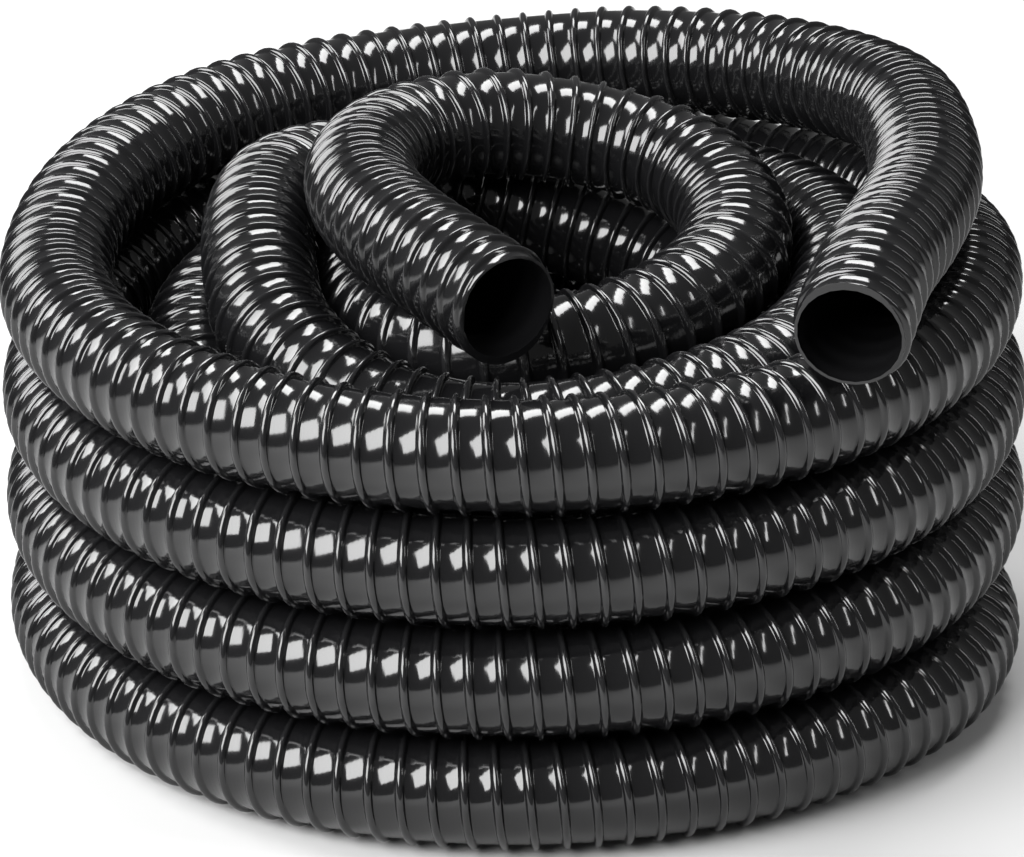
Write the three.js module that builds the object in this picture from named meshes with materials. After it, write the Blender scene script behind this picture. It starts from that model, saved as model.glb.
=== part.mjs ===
// A coil of ribbed PVC suction hose, lying on the floor on its lowest turn.
// Units are millimetres, +Z is up, and the origin is on the floor under the middle of the coil.
// The hose is one piece: a tube that is swept along one route, open at both square-cut ends.

import * as THREE from 'three';

// Driving sizes of the hose
const boreDiameter = 45;
const wallThickness = 1.25;
const ribHeight = 2.25;

// Driving sizes of the coil
const turnGap = 0.8;
const stackRadius = 209;
const stackTurns = 4;
const layerGap = 2;

// Fineness of the faceted tube
const sectionSides = 10;
const stepLength = 40;
const turnStep = 15;

// Sizes that follow from the hose
const ribDiameter = boreDiameter + 2 * (wallThickness + ribHeight);
const turnPitch = ribDiameter + turnGap;
const innerRadius = stackRadius - ribDiameter - layerGap;
const floorLevel = ribDiameter / 2;

// Inner free end and the loops on top of the coil: places of the centreline, in hose diameters
const topLoops = [
  [-0.08, -3.15, 4.48], [-0.60, -2.36, 4.52], [-1.02, -1.54, 4.50], [-1.30, -0.62, 4.44],
  [-1.32, 0.34, 4.36], [-0.98, 1.13, 4.30], [-0.22, 1.57, 4.28], [0.68, 1.62, 4.14],
  [1.42, 1.22, 4.04], [1.84, 0.46, 3.94], [1.86, -0.42, 3.82], [1.46, -1.18, 3.70],
  [0.78, -1.68, 3.58], [-0.02, -1.85, 3.52], [-0.70, -1.58, 3.47], [-1.12, -1.00, 3.42],
  [-1.29, -0.24, 3.34], [-1.28, 0.62, 3.14], [-0.82, 1.24, 2.80], [-0.05, 1.46, 2.36],
  [0.78, 1.38, 2.08], [1.46, 1.00, 1.92], [2.07, 0.36, 1.89], [2.49, -0.54, 1.92],
  [2.45, -1.44, 2.00], [1.95, -2.18, 2.12], [1.17, -2.73, 2.20],
];

// Upper turn of the inner layer: angle travelled clockwise from the right, height, distance from the
// layer's own radius, the last two in hose diameters
const upperTurn = [
  [84, 2.20, 0], [110, 2.24, 0], [135, 2.42, -0.05], [160, 2.70, -0.14], [180, 2.85, -0.20],
  [200, 2.86, -0.20], [225, 2.84, -0.09], [245, 2.86, 0], [270, 2.98, 0.03], [300, 3.28, 0],
  [330, 3.44, -0.06], [360, 3.50, -0.11], [405, 3.36, -0.04], [450, 3.22, -0.04], [455, 3.22, -0.06],
];

// Loops that pass inside the upper turn and down through the middle, in hose diameters
const middleLoops = [
  [-1.00, -2.68, 3.26], [-1.62, -2.22, 3.40], [-2.06, -1.48, 3.58], [-2.22, -0.62, 3.76],
  [-2.25, 0.30, 3.83], [-2.10, 1.14, 3.81], [-1.58, 1.76, 3.72], [-0.88, 2.03, 3.54],
  [-0.06, 2.00, 3.29], [0.70, 1.80, 3.11], [1.34, 1.40, 2.98], [1.78, 0.80, 2.91],
  [1.95, 0.02, 2.86], [1.82, -0.76, 2.76], [1.36, -1.40, 2.62], [0.62, -1.78, 2.50],
  [-0.22, -1.84, 2.44], [-1.02, -1.54, 2.38], [-1.60, -0.92, 2.26], [-1.84, -0.12, 2.10],
  [-1.72, 0.76, 1.86], [-1.24, 1.48, 1.56], [-0.46, 1.90, 1.32], [0.44, 2.04, 1.16],
  [1.28, 1.96, 1.16], [2.00, 1.57, 1.21], [2.56, 0.97, 1.21],
];

// Lowest turn of the inner layer, which comes down to the floor and out under the stack at the back
const lowerTurn = [
  [-7, 1.17, -0.05], [0, 1.12, -0.01], [12, 1.02, 0.08], [45, 1.00, 0.13], [90, 1.00, 0.14],
  [135, 0.82, 0.07], [160, 0.62, 0.02], [180, 0.50, 0], [225, 0.50, 0.02], [255, 0.50, 0.05],
  [270, 0.50, 0.09], [285, 0.50, 0.14], [300, 0.50, 0.20], [315, 0.50, 0.26], [330, 0.50, 0.41],
  [345, 0.50, 0.60], [360, 0.50, 0.88], [375, 0.50, 1.07], [390, 0.50, 1.13],
];

// Outer free end on top of the stack: angle, height and distance from the stack's radius, in diameters
const outerEnd = [
  [301, 4.16, -0.05], [318, 4.30, -0.15], [336, 4.46, -0.30], [352, 4.49, -0.45], [369, 4.51, -0.49],
  [387, 4.57, -0.38], [402, 4.61, -0.06], [414, 4.46, 0.54],
];

// A point on a turn: an angle clockwise from the right as seen from above, a radius and a height
function turnPoint(degrees, radius, height) {
  const angle = THREE.MathUtils.degToRad(-degrees);
  return new THREE.Vector3(radius * Math.cos(angle), radius * Math.sin(angle), height);
}

// Free points, from hose diameters to millimetres
function freePoints(points) {
  return points.map(([x, y, z]) => new THREE.Vector3(x, y, z).multiplyScalar(ribDiameter));
}

// The rows of a turn, read between its knots at an even angle
function woundPoints(knots, radius) {
  const first = knots[0][0];
  const last = knots[knots.length - 1][0];
  const steps = Math.round((last - first) / turnStep);
  const points = [];
  let knot = 0;
  for (let i = 0; i <= steps; i += 1) {
    const angle = first + ((last - first) * i) / steps;
    while (knot < knots.length - 2 && angle > knots[knot + 1][0]) knot += 1;
    const [startAngle, startHeight, startOffset] = knots[knot];
    const [endAngle, endHeight, endOffset] = knots[knot + 1];
    const share = (angle - startAngle) / (endAngle - startAngle);
    const height = THREE.MathUtils.lerp(startHeight, endHeight, share) * ribDiameter;
    const offset = THREE.MathUtils.lerp(startOffset, endOffset, share) * ribDiameter;
    points.push(turnPoint(angle, radius + offset, height));
  }
  return points;
}

// Rise from one turn to the next, over the back half of the turn: degrees past the left side, share
const riseKnots = [
  [0, 0], [20, 0.15], [40, 0.25], [75, 0.29], [95, 0.38], [110, 0.53], [132, 0.64], [158, 0.86], [180, 1],
];

function riseShare(degrees) {
  if (degrees <= 0) return 0;
  for (let i = 1; i < riseKnots.length; i += 1) {
    const [start, startShare] = riseKnots[i - 1];
    const [end, endShare] = riseKnots[i];
    if (degrees <= end) {
      const share = (degrees - start) / (end - start);
      return THREE.MathUtils.lerp(startShare, endShare, share);
    }
  }
  return 1;
}

// The stacked turns of the outer layer, each one hose diameter above the one before. On the right the
// stack leans in towards the top, by these distances from one turn to the next
const rightLean = [6, -1.5, -2.5, -6, -6];

function stackPoints() {
  const points = [];
  const firstAngle = 3 * turnStep;
  const lastAngle = 360 * stackTurns - 4 * turnStep;
  for (let angle = firstAngle; angle < lastAngle; angle += turnStep) {
    const turn = Math.floor(angle / 360);
    const height = floorLevel + turnPitch * (turn + riseShare((angle % 360) - 180));
    const towardsRight = Math.max(0, Math.cos(THREE.MathUtils.degToRad(angle))) ** 2;
    const lean = THREE.MathUtils.lerp(rightLean[turn], rightLean[turn + 1], (angle % 360) / 360);
    points.push(turnPoint(angle, stackRadius + lean * towardsRight, height));
  }
  return points;
}

// The whole centreline, from the inner end to the outer end
const centreline = new THREE.CatmullRomCurve3(
  [
    ...freePoints(topLoops),
    ...woundPoints(upperTurn, innerRadius),
    ...freePoints(middleLoops),
    ...woundPoints(lowerTurn, innerRadius),
    ...stackPoints(),
    ...outerEnd.map(([angle, height, offset]) =>
      turnPoint(angle, stackRadius + offset * ribDiameter, height * ribDiameter)),
  ],
  false,
  'catmullrom',
  0.5,
);
centreline.arcLengthDivisions = 4000;

// The hose's section: round outside, at the crests of the ribs, with its bore
function hoseSection() {
  const section = new THREE.Shape();
  section.absarc(0, 0, ribDiameter / 2, 0, 2 * Math.PI, false);
  const bore = new THREE.Path();
  bore.absarc(0, 0, boreDiameter / 2, 0, 2 * Math.PI, true);
  section.holes.push(bore);
  return section;
}

const hoseGeometry = new THREE.ExtrudeGeometry(hoseSection(), {
  steps: Math.round(centreline.getLength() / stepLength),
  curveSegments: sectionSides / 2,
  bevelEnabled: false,
  extrudePath: centreline,
});

const blackPvc = new THREE.MeshStandardMaterial({
  name: 'black_gloss_pvc',
  color: 0x0b0b0c,
  roughness: 0.12,
  metalness: 0,
});

const hose = new THREE.Mesh(hoseGeometry, blackPvc);
hose.name = 'hose';

// The coil stands on the floor, with the middle of its outline at the origin
const extent = new THREE.Box3().setFromObject(hose);
const middle = extent.getCenter(new THREE.Vector3());
hoseGeometry.translate(-middle.x, -middle.y, -extent.min.z);

const group = new THREE.Group();
group.name = 'pvc_suction_hose';
group.add(hose);

export default group;
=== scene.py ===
"""A coil of ribbed black PVC suction hose on a white studio floor."""

import logging
import math
from dataclasses import dataclass
from dataclasses import field
from enum import Enum

import bmesh
import bpy
import numpy as np
from mathutils import Matrix
from mathutils import Vector


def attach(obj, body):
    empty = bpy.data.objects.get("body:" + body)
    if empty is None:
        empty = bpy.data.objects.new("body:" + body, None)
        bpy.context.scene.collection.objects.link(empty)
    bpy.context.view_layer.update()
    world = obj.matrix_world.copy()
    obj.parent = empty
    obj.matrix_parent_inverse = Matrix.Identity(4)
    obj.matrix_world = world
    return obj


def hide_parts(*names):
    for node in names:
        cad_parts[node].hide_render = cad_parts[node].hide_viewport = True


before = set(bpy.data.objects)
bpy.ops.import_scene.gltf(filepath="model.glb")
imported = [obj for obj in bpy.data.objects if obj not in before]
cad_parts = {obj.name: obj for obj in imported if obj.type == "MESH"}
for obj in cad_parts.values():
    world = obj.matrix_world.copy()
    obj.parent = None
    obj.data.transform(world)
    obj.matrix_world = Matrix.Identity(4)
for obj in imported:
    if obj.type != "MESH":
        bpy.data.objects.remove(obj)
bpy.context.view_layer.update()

LOG = logging.getLogger("suction_hose")

IMAGE_WIDTH = 1024
SENSOR_WIDTH = 36.0
MM = 0.001

Point = tuple[float, float, float]


def linear(hex_colour: str) -> tuple[float, float, float, float]:
    """Turns an sRGB hex value into a linear colour.

    Args:
        hex_colour: The colour as six hex digits after a number sign.

    Returns:
        The linear red, green and blue, with an alpha of 1.
    """
    channels = []
    for start in (1, 3, 5):
        value = int(hex_colour[start : start + 2], 16) / 255.0
        if value <= 0.04045:
            channels.append(value / 12.92)
        else:
            channels.append(((value + 0.055) / 1.055) ** 2.4)
    return (channels[0], channels[1], channels[2], 1.0)


def add_node(tree: bpy.types.NodeTree, kind: str, inputs: dict | None = None, **settings) -> bpy.types.Node:
    """Adds a node to a tree, with its settings and its inputs.

    Args:
        tree: The node tree.
        kind: The node's type name.
        inputs: For each input, by name or number, a value or the socket that it is linked from.
        **settings: The node's own properties.

    Returns:
        The new node.
    """
    node = tree.nodes.new(kind)
    for name, value in settings.items():
        setattr(node, name, value)
    for name, value in (inputs or {}).items():
        if isinstance(value, bpy.types.NodeSocket):
            tree.links.new(value, node.inputs[name])
        else:
            node.inputs[name].default_value = value
    return node


@dataclass(frozen=True)
class HoseSize:
    """The sizes of the hose itself, in metres."""

    bore: float = 45.0 * MM
    wall: float = 1.25 * MM
    rib_height: float = 2.25 * MM
    rib_width: float = 3.7 * MM
    rib_foot: float = 0.55 * MM
    rib_pitch: float = 12.74 * MM

    @property
    def valley_radius(self) -> float:
        """The outer radius of the wall between the ribs."""
        return self.bore / 2 + self.wall

    @property
    def diameter(self) -> float:
        """The diameter over the ribs."""
        return 2 * (self.valley_radius + self.rib_height)


@dataclass(frozen=True)
class CoilSize:
    """How the hose is wound: sizes in metres, and turns worked out as in the part's source."""

    turn_gap: float = 0.8 * MM
    stack_radius: float = 209.0 * MM
    layer_gap: float = 2.0 * MM
    stack_turns: int = 4
    turn_step: int = 15
    right_lean: tuple[float, ...] = (6.0 * MM, -1.5 * MM, -2.5 * MM, -6.0 * MM, -6.0 * MM)


# Inner free end and the loops on top of the coil: places of the centreline, in hose diameters
TOP_LOOPS: list[Point] = [
    (-0.08, -3.15, 4.48), (-0.60, -2.36, 4.52), (-1.02, -1.54, 4.50), (-1.30, -0.62, 4.44),
    (-1.32, 0.34, 4.36), (-0.98, 1.13, 4.30), (-0.22, 1.57, 4.28), (0.68, 1.62, 4.14),
    (1.42, 1.22, 4.04), (1.84, 0.46, 3.94), (1.86, -0.42, 3.82), (1.46, -1.18, 3.70),
    (0.78, -1.68, 3.58), (-0.02, -1.85, 3.52), (-0.70, -1.58, 3.47), (-1.12, -1.00, 3.42),
    (-1.29, -0.24, 3.34), (-1.28, 0.62, 3.14), (-0.82, 1.24, 2.80), (-0.05, 1.46, 2.36),
    (0.78, 1.38, 2.08), (1.46, 1.00, 1.92), (2.07, 0.36, 1.89), (2.49, -0.54, 1.92),
    (2.45, -1.44, 2.00), (1.95, -2.18, 2.12), (1.17, -2.73, 2.20),
]

# Upper turn of the inner layer: degrees travelled clockwise from the right, then height and
# distance from the layer's own radius, in hose diameters
UPPER_TURN: list[Point] = [
    (84, 2.20, 0.00), (110, 2.24, 0.00), (135, 2.42, -0.05), (160, 2.70, -0.14), (180, 2.85, -0.20),
    (200, 2.86, -0.20), (225, 2.84, -0.09), (245, 2.86, 0.00), (270, 2.98, 0.03), (300, 3.28, 0.00),
    (330, 3.44, -0.06), (360, 3.50, -0.11), (405, 3.36, -0.04), (450, 3.22, -0.04), (455, 3.22, -0.06),
]

# Loops that pass inside the upper turn and down through the middle, in hose diameters
MIDDLE_LOOPS: list[Point] = [
    (-1.00, -2.68, 3.26), (-1.62, -2.22, 3.40), (-2.06, -1.48, 3.58), (-2.22, -0.62, 3.76),
    (-2.25, 0.30, 3.83), (-2.10, 1.14, 3.81), (-1.58, 1.76, 3.72), (-0.88, 2.03, 3.54),
    (-0.06, 2.00, 3.29), (0.70, 1.80, 3.11), (1.34, 1.40, 2.98), (1.78, 0.80, 2.91),
    (1.95, 0.02, 2.86), (1.82, -0.76, 2.76), (1.36, -1.40, 2.62), (0.62, -1.78, 2.50),
    (-0.22, -1.84, 2.44), (-1.02, -1.54, 2.38), (-1.60, -0.92, 2.26), (-1.84, -0.12, 2.10),
    (-1.72, 0.76, 1.86), (-1.24, 1.48, 1.56), (-0.46, 1.90, 1.32), (0.44, 2.04, 1.16),
    (1.28, 1.96, 1.16), (2.00, 1.57, 1.21), (2.56, 0.97, 1.21),
]

# Lowest turn of the inner layer, down to the floor and out under the stack at the back
LOWER_TURN: list[Point] = [
    (-7, 1.17, -0.05), (0, 1.12, -0.01), (12, 1.02, 0.08), (45, 1.00, 0.13), (90, 1.00, 0.14),
    (135, 0.82, 0.07), (160, 0.62, 0.02), (180, 0.50, 0.00), (225, 0.50, 0.02), (255, 0.50, 0.05),
    (270, 0.50, 0.09), (285, 0.50, 0.14), (300, 0.50, 0.20), (315, 0.50, 0.26), (330, 0.50, 0.41),
    (345, 0.50, 0.60), (360, 0.50, 0.88), (375, 0.50, 1.07), (390, 0.50, 1.13),
]

# Outer free end on top of the stack: degrees, then height and distance from the stack's radius
OUTER_END: list[Point] = [
    (301, 4.16, -0.05), (318, 4.30, -0.15), (336, 4.46, -0.30), (352, 4.49, -0.45), (369, 4.51, -0.49),
    (387, 4.57, -0.38), (402, 4.61, -0.06), (414, 4.46, 0.54),
]

# Rise from one turn to the next, over the back half of it: degrees past the left side, share
RISE_KNOTS: list[tuple[float, float]] = [
    (0, 0.0), (20, 0.15), (40, 0.25), (75, 0.29), (95, 0.38), (110, 0.53),
    (132, 0.64), (158, 0.86), (180, 1.0),
]

# Butt joints between the modelled lengths, in hose diameters along it, where none can be seen
JOINTS: tuple[float, ...] = (27.0, 67.0, 107.0, 156.4)


@dataclass
class Route:
    """The hose's centreline, from its inner end to its outer end, with a frame along it.

    The frame doesn't twist: each one is the last one, turned only as far as the hose bends.
    """

    hose: HoseSize
    coil: CoilSize
    curve_steps: int = 24
    step: float = 2.0 * MM
    places: np.ndarray = field(init=False)
    sides: np.ndarray = field(init=False)
    ups: np.ndarray = field(init=False)
    along: np.ndarray = field(init=False)

    def __post_init__(self) -> None:
        """Works out the centreline at even steps, and the frames on it."""
        line = self._smooth(np.array(self._points()), self.curve_steps)
        line = self._even(line, self.step)
        low = line.min(axis=0)
        high = line.max(axis=0)
        line -= np.array(((low[0] + high[0]) / 2, (low[1] + high[1]) / 2, low[2] - self.hose.diameter / 2))
        self.places = line
        self._turn_frames()

    @property
    def length(self) -> float:
        """The hose's whole length in metres."""
        return float(self.along[-1])

    def _turn_point(self, degrees: float, radius: float, height: float) -> Point:
        """A point on a turn.

        Args:
            degrees: The angle travelled clockwise from the right, as seen from above.
            radius: The turn's radius in metres.
            height: The centreline's height in metres.

        Returns:
            The point in metres.
        """
        angle = math.radians(-degrees)
        return (radius * math.cos(angle), radius * math.sin(angle), height)

    def _free(self, points: list[Point]) -> list[Point]:
        """Free points, from hose diameters to metres."""
        return [tuple(value * self.hose.diameter for value in point) for point in points]

    def _wound(self, knots: list[Point], radius: float) -> list[Point]:
        """The points of a turn, read between its knots at an even angle.

        Args:
            knots: Degrees, height and distance from the radius, the last two in hose diameters.
            radius: The layer's radius in metres.

        Returns:
            Points in metres.
        """
        angles, heights, offsets = zip(*knots)
        steps = round((angles[-1] - angles[0]) / self.coil.turn_step)
        points = []
        for angle in np.linspace(angles[0], angles[-1], steps + 1):
            height = float(np.interp(angle, angles, heights)) * self.hose.diameter
            offset = float(np.interp(angle, angles, offsets)) * self.hose.diameter
            points.append(self._turn_point(angle, radius + offset, height))
        return points

    def _stack(self) -> list[Point]:
        """The stacked turns of the outer layer, each a hose diameter above the last one."""
        degrees, shares = zip(*RISE_KNOTS)
        pitch = self.hose.diameter + self.coil.turn_gap
        last = 360 * self.coil.stack_turns - 4 * self.coil.turn_step
        points = []
        for angle in range(3 * self.coil.turn_step, last, self.coil.turn_step):
            turn, rest = divmod(angle, 360)
            rise = float(np.interp(rest - 180, degrees, shares))
            height = self.hose.diameter / 2 + pitch * (turn + rise)
            towards_right = max(0.0, math.cos(math.radians(angle))) ** 2
            lean = float(np.interp(angle / 360, range(len(self.coil.right_lean)), self.coil.right_lean))
            radius = self.coil.stack_radius + lean * towards_right
            points.append(self._turn_point(angle, radius, height))
        return points

    def _points(self) -> list[Point]:
        """All the points that the centreline passes through, in metres."""
        inner_radius = self.coil.stack_radius - self.hose.diameter - self.coil.layer_gap
        end = [
            self._turn_point(
                angle,
                self.coil.stack_radius + offset * self.hose.diameter,
                height * self.hose.diameter,
            )
            for angle, height, offset in OUTER_END
        ]
        return (
            self._free(TOP_LOOPS)
            + self._wound(UPPER_TURN, inner_radius)
            + self._free(MIDDLE_LOOPS)
            + self._wound(LOWER_TURN, inner_radius)
            + self._stack()
            + end
        )

    def _smooth(self, points: np.ndarray, steps: int) -> np.ndarray:
        """A smooth curve through points, as a uniform Catmull-Rom spline makes it.

        Args:
            points: The points that it passes through.
            steps: How many steps there are between each two of them.

        Returns:
            The curve's points.
        """
        first = 2 * points[0] - points[1]
        last = 2 * points[-1] - points[-2]
        padded = np.vstack([first, points, last])
        share = np.linspace(0.0, 1.0, steps, endpoint=False)[:, None]
        rows = []
        for before, start, end, after in zip(padded, padded[1:], padded[2:], padded[3:]):
            rows.append(
                0.5
                * (
                    2 * start
                    + (end - before) * share
                    + (2 * before - 5 * start + 4 * end - after) * share**2
                    + (3 * start - before - 3 * end + after) * share**3
                )
            )
        rows.append(points[-1:])
        return np.vstack(rows)

    def _even(self, line: np.ndarray, step: float) -> np.ndarray:
        """The same line, read again at an even step, which also fills in how far along each point is.

        Args:
            line: The line's points.
            step: About how far apart the new points are.

        Returns:
            The new points.
        """
        lengths = np.linalg.norm(np.diff(line, axis=0), axis=1)
        travelled = np.concatenate([[0.0], np.cumsum(lengths)])
        count = round(travelled[-1] / step) + 1
        self.along = np.linspace(0.0, travelled[-1], count)
        return np.stack([np.interp(self.along, travelled, line[:, axis]) for axis in range(3)], axis=1)

    def _turn_frames(self) -> None:
        """Carries a frame along the line without twist, by two reflections at each step."""
        tangents = np.gradient(self.places, axis=0)
        tangents /= np.linalg.norm(tangents, axis=1)[:, None]
        side = np.cross((0.0, 0.0, 1.0), tangents[0])
        side /= np.linalg.norm(side)
        sides = [side]
        for index in range(len(self.places) - 1):
            chord = self.places[index + 1] - self.places[index]
            square = chord @ chord
            mirrored_side = side - 2 / square * (chord @ side) * chord
            mirrored_tangent = tangents[index] - 2 / square * (chord @ tangents[index]) * chord
            second = tangents[index + 1] - mirrored_tangent
            side = mirrored_side - 2 / (second @ second) * (second @ mirrored_side) * second
            sides.append(side)
        self.sides = np.array(sides)
        self.ups = np.cross(tangents, self.sides)

    def at(self, distance: float) -> Point:
        """The centreline's place at a distance along the hose, in metres."""
        return tuple(float(np.interp(distance, self.along, self.places[:, axis])) for axis in range(3))

    def between(self, start: float, end: float, step: float) -> list[Point]:
        """Places along the centreline from one distance to another.

        Args:
            start: The first distance in metres.
            end: The last distance in metres.
            step: About how far apart the places are.

        Returns:
            The places, both ends included.
        """
        count = max(2, round((end - start) / step) + 1)
        return [self.at(distance) for distance in np.linspace(start, end, count)]

    def bend(self, straight: np.ndarray) -> np.ndarray:
        """Bends points of a straight hose along X onto the route.

        Args:
            straight: Points with X along the hose, and Y and Z across it.

        Returns:
            The same points on the route.
        """
        columns = [self.places, self.sides, self.ups]
        place, side, up = (
            np.stack([np.interp(straight[:, 0], self.along, column[:, axis]) for axis in range(3)], axis=1)
            for column in columns
        )
        return place + side * straight[:, 1:2] + up * straight[:, 2:3]


class HoseFace(Enum):
    """Which side of the hose's wall a face is on, by the number of its finish."""

    OUTSIDE = 0
    BORE = 1


@dataclass(frozen=True)
class ExtrudedPvc:
    """Plasticised PVC, extruded and wound hot: a deep black with a wet-looking gloss.

    The melt leaves a faint orange peel, and finer lines that follow the rib round the hose. Inside,
    the rib shows through the wall as a shallow wave.
    """

    colour: str = "#101011"
    rubbed_colour: str = "#202021"
    roughness: float = 0.10
    roughness_spread: float = 0.05
    ior: float = 1.54
    peel_size: float = 5.0 * MM
    peel_depth: float = 0.012 * MM
    lines_per_pitch: float = 6.0
    line_depth: float = 0.004 * MM
    wave_depth: float = 0.25 * MM
    patch_size: float = 30.0 * MM
    crest_share: float = 0.7

    def build(self, name: str, hose: HoseSize, face: HoseFace) -> bpy.types.Material:
        """Makes the material.

        Args:
            name: The material's name.
            hose: The hose that it is on, for its scales.
            face: The side of the wall that it is on.

        Returns:
            The material.
        """
        material = bpy.data.materials.new(name)
        material.use_nodes = True
        tree = material.node_tree
        shader = tree.nodes["Principled BSDF"]
        shader.inputs["IOR"].default_value = self.ior
        straight = add_node(tree, "ShaderNodeAttribute", attribute_name="straight").outputs["Vector"]
        parts = add_node(tree, "ShaderNodeSeparateXYZ", {"Vector": straight})
        angle = add_node(
            tree, "ShaderNodeMath", {0: parts.outputs["Z"], 1: parts.outputs["Y"]}, operation="ARCTAN2"
        )
        wound = add_node(
            tree,
            "ShaderNodeMath",
            {0: parts.outputs["X"], 1: 2 * math.pi / hose.rib_pitch, 2: 0.0},
            operation="MULTIPLY_ADD",
        )
        phase = add_node(
            tree, "ShaderNodeMath", {0: wound.outputs[0], 1: angle.outputs[0]}, operation="SUBTRACT"
        )

        # Fine lines run beside the rib outside, and the bore has one wave to each turn of the rib
        outside = face is HoseFace.OUTSIDE
        lines_per_pitch = self.lines_per_pitch if outside else 1.0
        line_depth = self.line_depth if outside else self.wave_depth
        lines = add_node(
            tree,
            "ShaderNodeMath",
            {0: phase.outputs[0], 1: lines_per_pitch, 2: 0.0},
            operation="MULTIPLY_ADD",
        )
        ripple = add_node(tree, "ShaderNodeMath", {0: lines.outputs[0]}, operation="SINE")
        peel = add_node(
            tree,
            "ShaderNodeTexNoise",
            {"Vector": straight, "Scale": 1.0 / self.peel_size, "Detail": 2.0, "Roughness": 0.45},
        )
        ripple_height = add_node(
            tree, "ShaderNodeMath", {0: ripple.outputs[0], 1: line_depth, 2: 0.0}, operation="MULTIPLY_ADD"
        )
        height = add_node(
            tree,
            "ShaderNodeMath",
            {0: peel.outputs["Fac"], 1: self.peel_depth, 2: ripple_height.outputs[0]},
            operation="MULTIPLY_ADD",
        )
        bump = add_node(
            tree, "ShaderNodeBump", {"Height": height.outputs[0], "Strength": 1.0, "Distance": 1.0}
        )
        tree.links.new(bump.outputs["Normal"], shader.inputs["Normal"])

        # Handling dulls the surface in soft patches
        patches = add_node(
            tree,
            "ShaderNodeTexNoise",
            {"Vector": straight, "Scale": 1.0 / self.patch_size, "Detail": 4.0, "Roughness": 0.6},
        )
        roughness = add_node(
            tree,
            "ShaderNodeMapRange",
            {
                "Value": patches.outputs["Fac"],
                "From Min": 0.35,
                "From Max": 0.7,
                "To Min": self.roughness,
                "To Max": self.roughness + self.roughness_spread,
            },
        )
        tree.links.new(roughness.outputs["Result"], shader.inputs["Roughness"])

        # The crests of the ribs are rubbed a little greyer than the wall between them
        across = add_node(tree, "ShaderNodeCombineXYZ", {"Y": parts.outputs["Y"], "Z": parts.outputs["Z"]})
        radius = add_node(tree, "ShaderNodeVectorMath", {0: across.outputs[0]}, operation="LENGTH")
        crest = add_node(
            tree,
            "ShaderNodeMapRange",
            {
                "Value": radius.outputs["Value"],
                "From Min": hose.valley_radius + self.crest_share * hose.rib_height,
                "From Max": hose.valley_radius + hose.rib_height,
            },
        )
        rubbed = add_node(
            tree,
            "ShaderNodeMath",
            {0: crest.outputs["Result"], 1: patches.outputs["Fac"]},
            operation="MULTIPLY",
        )
        colour = add_node(
            tree,
            "ShaderNodeMix",
            {"Factor": rubbed.outputs[0], "A": linear(self.colour), "B": linear(self.rubbed_colour)},
            data_type="RGBA",
        )
        tree.links.new(colour.outputs[2], shader.inputs["Base Color"])
        return material


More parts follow.
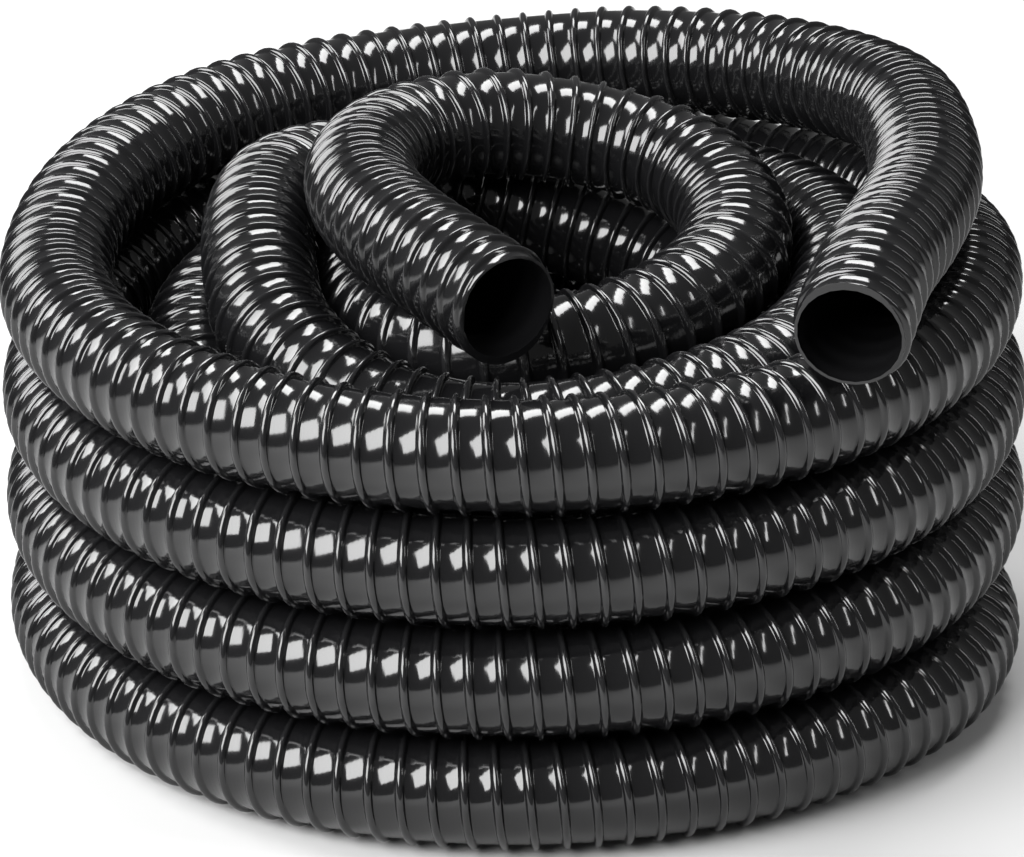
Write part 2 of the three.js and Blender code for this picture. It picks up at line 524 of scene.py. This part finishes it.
@dataclass
class HoseLength:
    """One stretch of the hose: its spiral rib, its wall, its bore and two square ends."""

    name: str
    route: Route
    hose: HoseSize
    start: float
    end: float
    free_end: bool
    sides: int = 38
    bore_sides: int = 24
    foot_share: float = 0.14
    crown_angles: tuple[int, ...] = (22, 50, 74)

    def _profile(self) -> list[tuple[float, float]]:
        """One pitch of the wall's outside, from mid valley to mid valley: along, and radius."""
        hose = self.hose
        half = hose.rib_width / 2
        middle = hose.rib_pitch / 2
        foot = middle - half - hose.rib_foot
        left = [(0.0, 0.0), (foot, 0.0), (middle - half, self.foot_share * hose.rib_height)]
        for degrees in self.crown_angles:
            angle = math.radians(degrees)
            left.append((middle - half * math.cos(angle), hose.rib_height * math.sin(angle)))
        crest = [(middle, hose.rib_height)]
        right = [(hose.rib_pitch - along, height) for along, height in reversed(left)]
        return [(along, hose.valley_radius + height) for along, height in left + crest + right]

    def _wind_wall(self, work: bmesh.types.BMesh) -> None:
        """Winds the profile into one turn, and lays copies of the turn end to end.

        Args:
            work: The empty mesh that it goes into.
        """
        hose = self.hose
        row = [work.verts.new((along, 0.0, radius)) for along, radius in self._profile()]
        for before, after in zip(row, row[1:]):
            work.edges.new((before, after))
        bmesh.ops.spin(
            work,
            geom=work.verts[:] + work.edges[:],
            cent=(0.0, 0.0, 0.0),
            axis=(1.0, 0.0, 0.0),
            dvec=(hose.rib_pitch / self.sides, 0.0, 0.0),
            angle=2 * math.pi,
            steps=self.sides,
        )
        first = math.floor(self.start / hose.rib_pitch) - 1
        needed = math.ceil(self.end / hose.rib_pitch) + 1 - first
        bmesh.ops.translate(work, verts=work.verts, vec=(first * hose.rib_pitch, 0.0, 0.0))
        turns = 1
        while turns < needed:
            copied = bmesh.ops.duplicate(work, geom=work.verts[:] + work.edges[:] + work.faces[:])
            corners = [item for item in copied["geom"] if isinstance(item, bmesh.types.BMVert)]
            bmesh.ops.translate(work, verts=corners, vec=(turns * hose.rib_pitch, 0.0, 0.0))
            turns *= 2

    def _cut_square(self, work: bmesh.types.BMesh) -> None:
        """Cuts the wound wall square at both ends.

        Args:
            work: The wound wall.
        """
        for distance, outward in ((self.start, -1.0), (self.end, 1.0)):
            bmesh.ops.bisect_plane(
                work,
                geom=work.verts[:] + work.edges[:] + work.faces[:],
                dist=1e-7,
                plane_co=(distance, 0.0, 0.0),
                plane_no=(outward, 0.0, 0.0),
                clear_outer=True,
            )
        bmesh.ops.remove_doubles(work, verts=work.verts, dist=2e-6)

    def _line_bore(self, work: bmesh.types.BMesh) -> None:
        """Adds the bore's wall, in rings about a pitch apart.

        Args:
            work: The straight length that it goes into.
        """
        span = self.end - self.start
        middle = (self.start + self.end) / 2
        place = Matrix.Translation((middle, 0.0, 0.0)) @ Matrix.Rotation(math.pi / 2, 4, "Y")
        made = bmesh.ops.create_cone(
            work,
            cap_ends=False,
            segments=self.bore_sides,
            radius1=self.hose.bore / 2,
            radius2=self.hose.bore / 2,
            depth=span,
            matrix=place,
        )
        corners = set(made["verts"])
        long_edges = [
            edge
            for edge in work.edges
            if edge.verts[0] in corners and abs(edge.verts[0].co.x - edge.verts[1].co.x) > span / 2
        ]
        cuts = round(span / self.hose.rib_pitch) - 1
        bmesh.ops.subdivide_edges(work, edges=long_edges, cuts=cuts, use_grid_fill=True)

    def _close_ends(self, work: bmesh.types.BMesh) -> None:
        """Joins the outside to the bore with a flat rim at each end, and keeps its edges crisp.

        Args:
            work: The straight length, with its wall and its bore.
        """
        for distance in (self.start, self.end):
            rim = [
                edge
                for edge in work.edges
                if edge.is_boundary and all(abs(corner.co.x - distance) < 1e-5 for corner in edge.verts)
            ]
            bridged = bmesh.ops.bridge_loops(work, edges=rim)
            for edge in rim:
                edge.smooth = False
            for flat in bridged["faces"]:
                flat.smooth = False

    def build(self, finishes: dict[HoseFace, bpy.types.Material]) -> bpy.types.Object:
        """Args:
            finishes: The finish of each side of the wall.

        Returns:
            The finished piece.
        """
        work = bmesh.new()
        self._wind_wall(work)
        self._cut_square(work)
        self._line_bore(work)
        for face in work.faces:
            face.smooth = True
        self._close_ends(work)
        bmesh.ops.recalc_face_normals(work, faces=work.faces)
        lining = self.hose.bore / 2 + 0.3 * self.hose.wall
        for face in work.faces:
            if all(math.hypot(corner.co.y, corner.co.z) < lining for corner in face.verts):
                face.material_index = HoseFace.BORE.value
        mesh = bpy.data.meshes.new(self.name)
        work.to_mesh(mesh)
        work.free()

        places = np.empty(len(mesh.vertices) * 3)
        mesh.vertices.foreach_get("co", places)
        straight = places.reshape(-1, 3)
        unbent = mesh.attributes.new("straight", "FLOAT_VECTOR", "POINT")
        unbent.data.foreach_set("vector", straight.ravel())
        mesh.vertices.foreach_set("co", self.route.bend(straight).ravel())
        mesh.update()

        for face in HoseFace:
            mesh.materials.append(finishes[face])
        piece = bpy.data.objects.new(self.name, mesh)
        bpy.context.scene.collection.objects.link(piece)
        self._declare(piece)
        return piece

    def _declare(self, piece: bpy.types.Object) -> None:
        """Attaches the piece to the root body and hides the imported hose part; the path along its
        centreline is worked out but not used.

        Args:
            piece: The finished length.
        """
        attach(piece, "root")
        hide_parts("hose")
        path = self.route.between(self.start, self.end, 10.0 * MM)


@dataclass
class SuctionHose:
    """The whole hose, in lengths that meet at butt joints, so that each mesh stays light."""

    hose: HoseSize
    coil: CoilSize

    def build(self) -> list[bpy.types.Object]:
        """Makes every length of the hose, and returns the pieces in order."""
        route = Route(self.hose, self.coil)
        LOG.info("route: %.3f m of hose, %.1f mm over the ribs", route.length, self.hose.diameter / MM)
        finishes = {
            HoseFace.OUTSIDE: ExtrudedPvc().build("gloss_black_pvc_extruded", self.hose, HoseFace.OUTSIDE),
            HoseFace.BORE: ExtrudedPvc(roughness=0.22).build("black_pvc_bore", self.hose, HoseFace.BORE),
        }
        marks = [0.0] + [place * self.hose.diameter for place in JOINTS] + [route.length]
        pieces = []
        for number, (start, end) in enumerate(zip(marks, marks[1:]), start=1):
            free_end = number in (1, len(marks) - 1)
            length = HoseLength(f"hose_length_{number}", route, self.hose, start, end, free_end)
            piece = length.build(finishes)
            LOG.info("%s: %.3f m, %d faces", piece.name, end - start, len(piece.data.polygons))
            pieces.append(piece)
        return pieces


@dataclass(frozen=True)
class PaintedFloor:
    """Matt pale grey emulsion, rolled on a smooth studio floor: even, and white under the lights."""

    colour: str = "#bcbcbc"
    shade_colour: str = "#b8b8b8"
    roughness: float = 0.85
    mottle_size: float = 120.0 * MM

    def build(self) -> bpy.types.Material:
        """Makes the material."""
        material = bpy.data.materials.new("pale_floor_emulsion")
        material.use_nodes = True
        tree = material.node_tree
        shader = tree.nodes["Principled BSDF"]
        shader.inputs["Roughness"].default_value = self.roughness
        place = add_node(tree, "ShaderNodeTexCoord").outputs["Object"]
        mottle = add_node(
            tree, "ShaderNodeTexNoise", {"Vector": place, "Scale": 1.0 / self.mottle_size, "Detail": 3.0}
        )
        colour = add_node(
            tree,
            "ShaderNodeMix",
            {"Factor": mottle.outputs["Fac"], "A": linear(self.colour), "B": linear(self.shade_colour)},
            data_type="RGBA",
        )
        tree.links.new(colour.outputs[2], shader.inputs["Base Color"])
        return material


@dataclass(frozen=True)
class Softbox:
    """A rectangular soft light that faces the coil."""

    name: str
    azimuth: float
    elevation: float
    distance: float
    width: float
    height: float
    power: float

    def build(self, target: Vector) -> bpy.types.Object:
        """Makes the light.

        Args:
            target: The point that it faces.

        Returns:
            The light.
        """
        turn = math.radians(self.azimuth)
        lift = math.radians(self.elevation)
        away = Vector((math.sin(turn) * math.cos(lift), -math.cos(turn) * math.cos(lift), math.sin(lift)))
        lamp = bpy.data.lights.new(self.name, "AREA")
        lamp.shape = "RECTANGLE"
        lamp.size = self.width
        lamp.size_y = self.height
        lamp.energy = self.power
        piece = bpy.data.objects.new(self.name, lamp)
        piece.location = target + away * self.distance
        piece.rotation_euler = away.to_track_quat("Z", "Y").to_euler()
        bpy.context.scene.collection.objects.link(piece)
        return piece


@dataclass
class Studio:
    """The floor, the lights and the camera. Lengths are in metres, and angles in degrees."""

    target: Point
    camera_distance: float
    camera_elevation: float
    focal_pixels: float
    floor_size: float = 14.0
    floor_drop: float = 0.3 * MM
    room_strength: float = 0.16
    softboxes: tuple[Softbox, ...] = (
        Softbox("key_softbox", -44.0, 37.0, 2.2, 1.9, 1.3, 105.0),
        Softbox("left_softbox", -108.0, 38.0, 2.4, 1.0, 1.2, 45.0),
        Softbox("back_softbox", 172.0, 62.0, 2.4, 1.6, 0.9, 65.0),
        Softbox("side_strip", 70.0, 35.0, 2.4, 0.2, 1.4, 10.0),
    )

    def build(self) -> None:
        """Sets up the whole studio."""
        self._lay_floor()
        self._fill_world()
        self._set_colours()
        for softbox in self.softboxes:
            softbox.build(Vector(self.target))
        self._place_camera()

    def _lay_floor(self) -> None:
        """Lays the floor just under the hose."""
        work = bmesh.new()
        bmesh.ops.create_grid(work, x_segments=1, y_segments=1, size=self.floor_size / 2)
        bmesh.ops.translate(work, verts=work.verts, vec=(0.0, 0.0, -self.floor_drop))
        mesh = bpy.data.meshes.new("studio_floor")
        work.to_mesh(mesh)
        work.free()
        mesh.materials.append(PaintedFloor().build())
        floor = bpy.data.objects.new("studio_floor", mesh)
        bpy.context.scene.collection.objects.link(floor)

    def _fill_world(self) -> None:
        """Leaves the room around the studio dim, so that the gloss stays black away from the lights."""
        world = bpy.data.worlds.new("dim_room")
        world.use_nodes = True
        background = world.node_tree.nodes["Background"]
        background.inputs["Color"].default_value = (1.0, 1.0, 1.0, 1.0)
        background.inputs["Strength"].default_value = self.room_strength
        bpy.context.scene.world = world

    def _set_colours(self) -> None:
        """Shows colours as they are lit, so that the floor comes out white."""
        bpy.context.scene.view_settings.view_transform = "Standard"

    def _place_camera(self) -> None:
        """Places the camera at the photograph's viewing angle."""
        lift = math.radians(self.camera_elevation)
        away = Vector((0.0, -math.cos(lift), math.sin(lift)))
        lens = bpy.data.cameras.new("studio_camera")
        lens.sensor_width = SENSOR_WIDTH
        lens.lens = self.focal_pixels / IMAGE_WIDTH * SENSOR_WIDTH
        lens.clip_end = 50.0
        camera = bpy.data.objects.new("studio_camera", lens)
        camera.location = Vector(self.target) + away * self.camera_distance
        camera.rotation_euler = away.to_track_quat("Z", "Y").to_euler()
        bpy.context.scene.collection.objects.link(camera)
        bpy.context.scene.camera = camera


def main() -> None:
    """Builds the studio and the hose."""
    logging.basicConfig(level=logging.INFO, format="%(name)s: %(message)s")
    hose = HoseSize()
    studio = Studio(
        target=(-0.03 * hose.diameter, 0.0, 2.002 * hose.diameter),
        camera_distance=50.0 * hose.diameter,
        camera_elevation=24.1,
        focal_pixels=5652.0,
    )
    studio.build()
    SuctionHose(hose, CoilSize()).build()


if __name__ == "__main__":
    main()
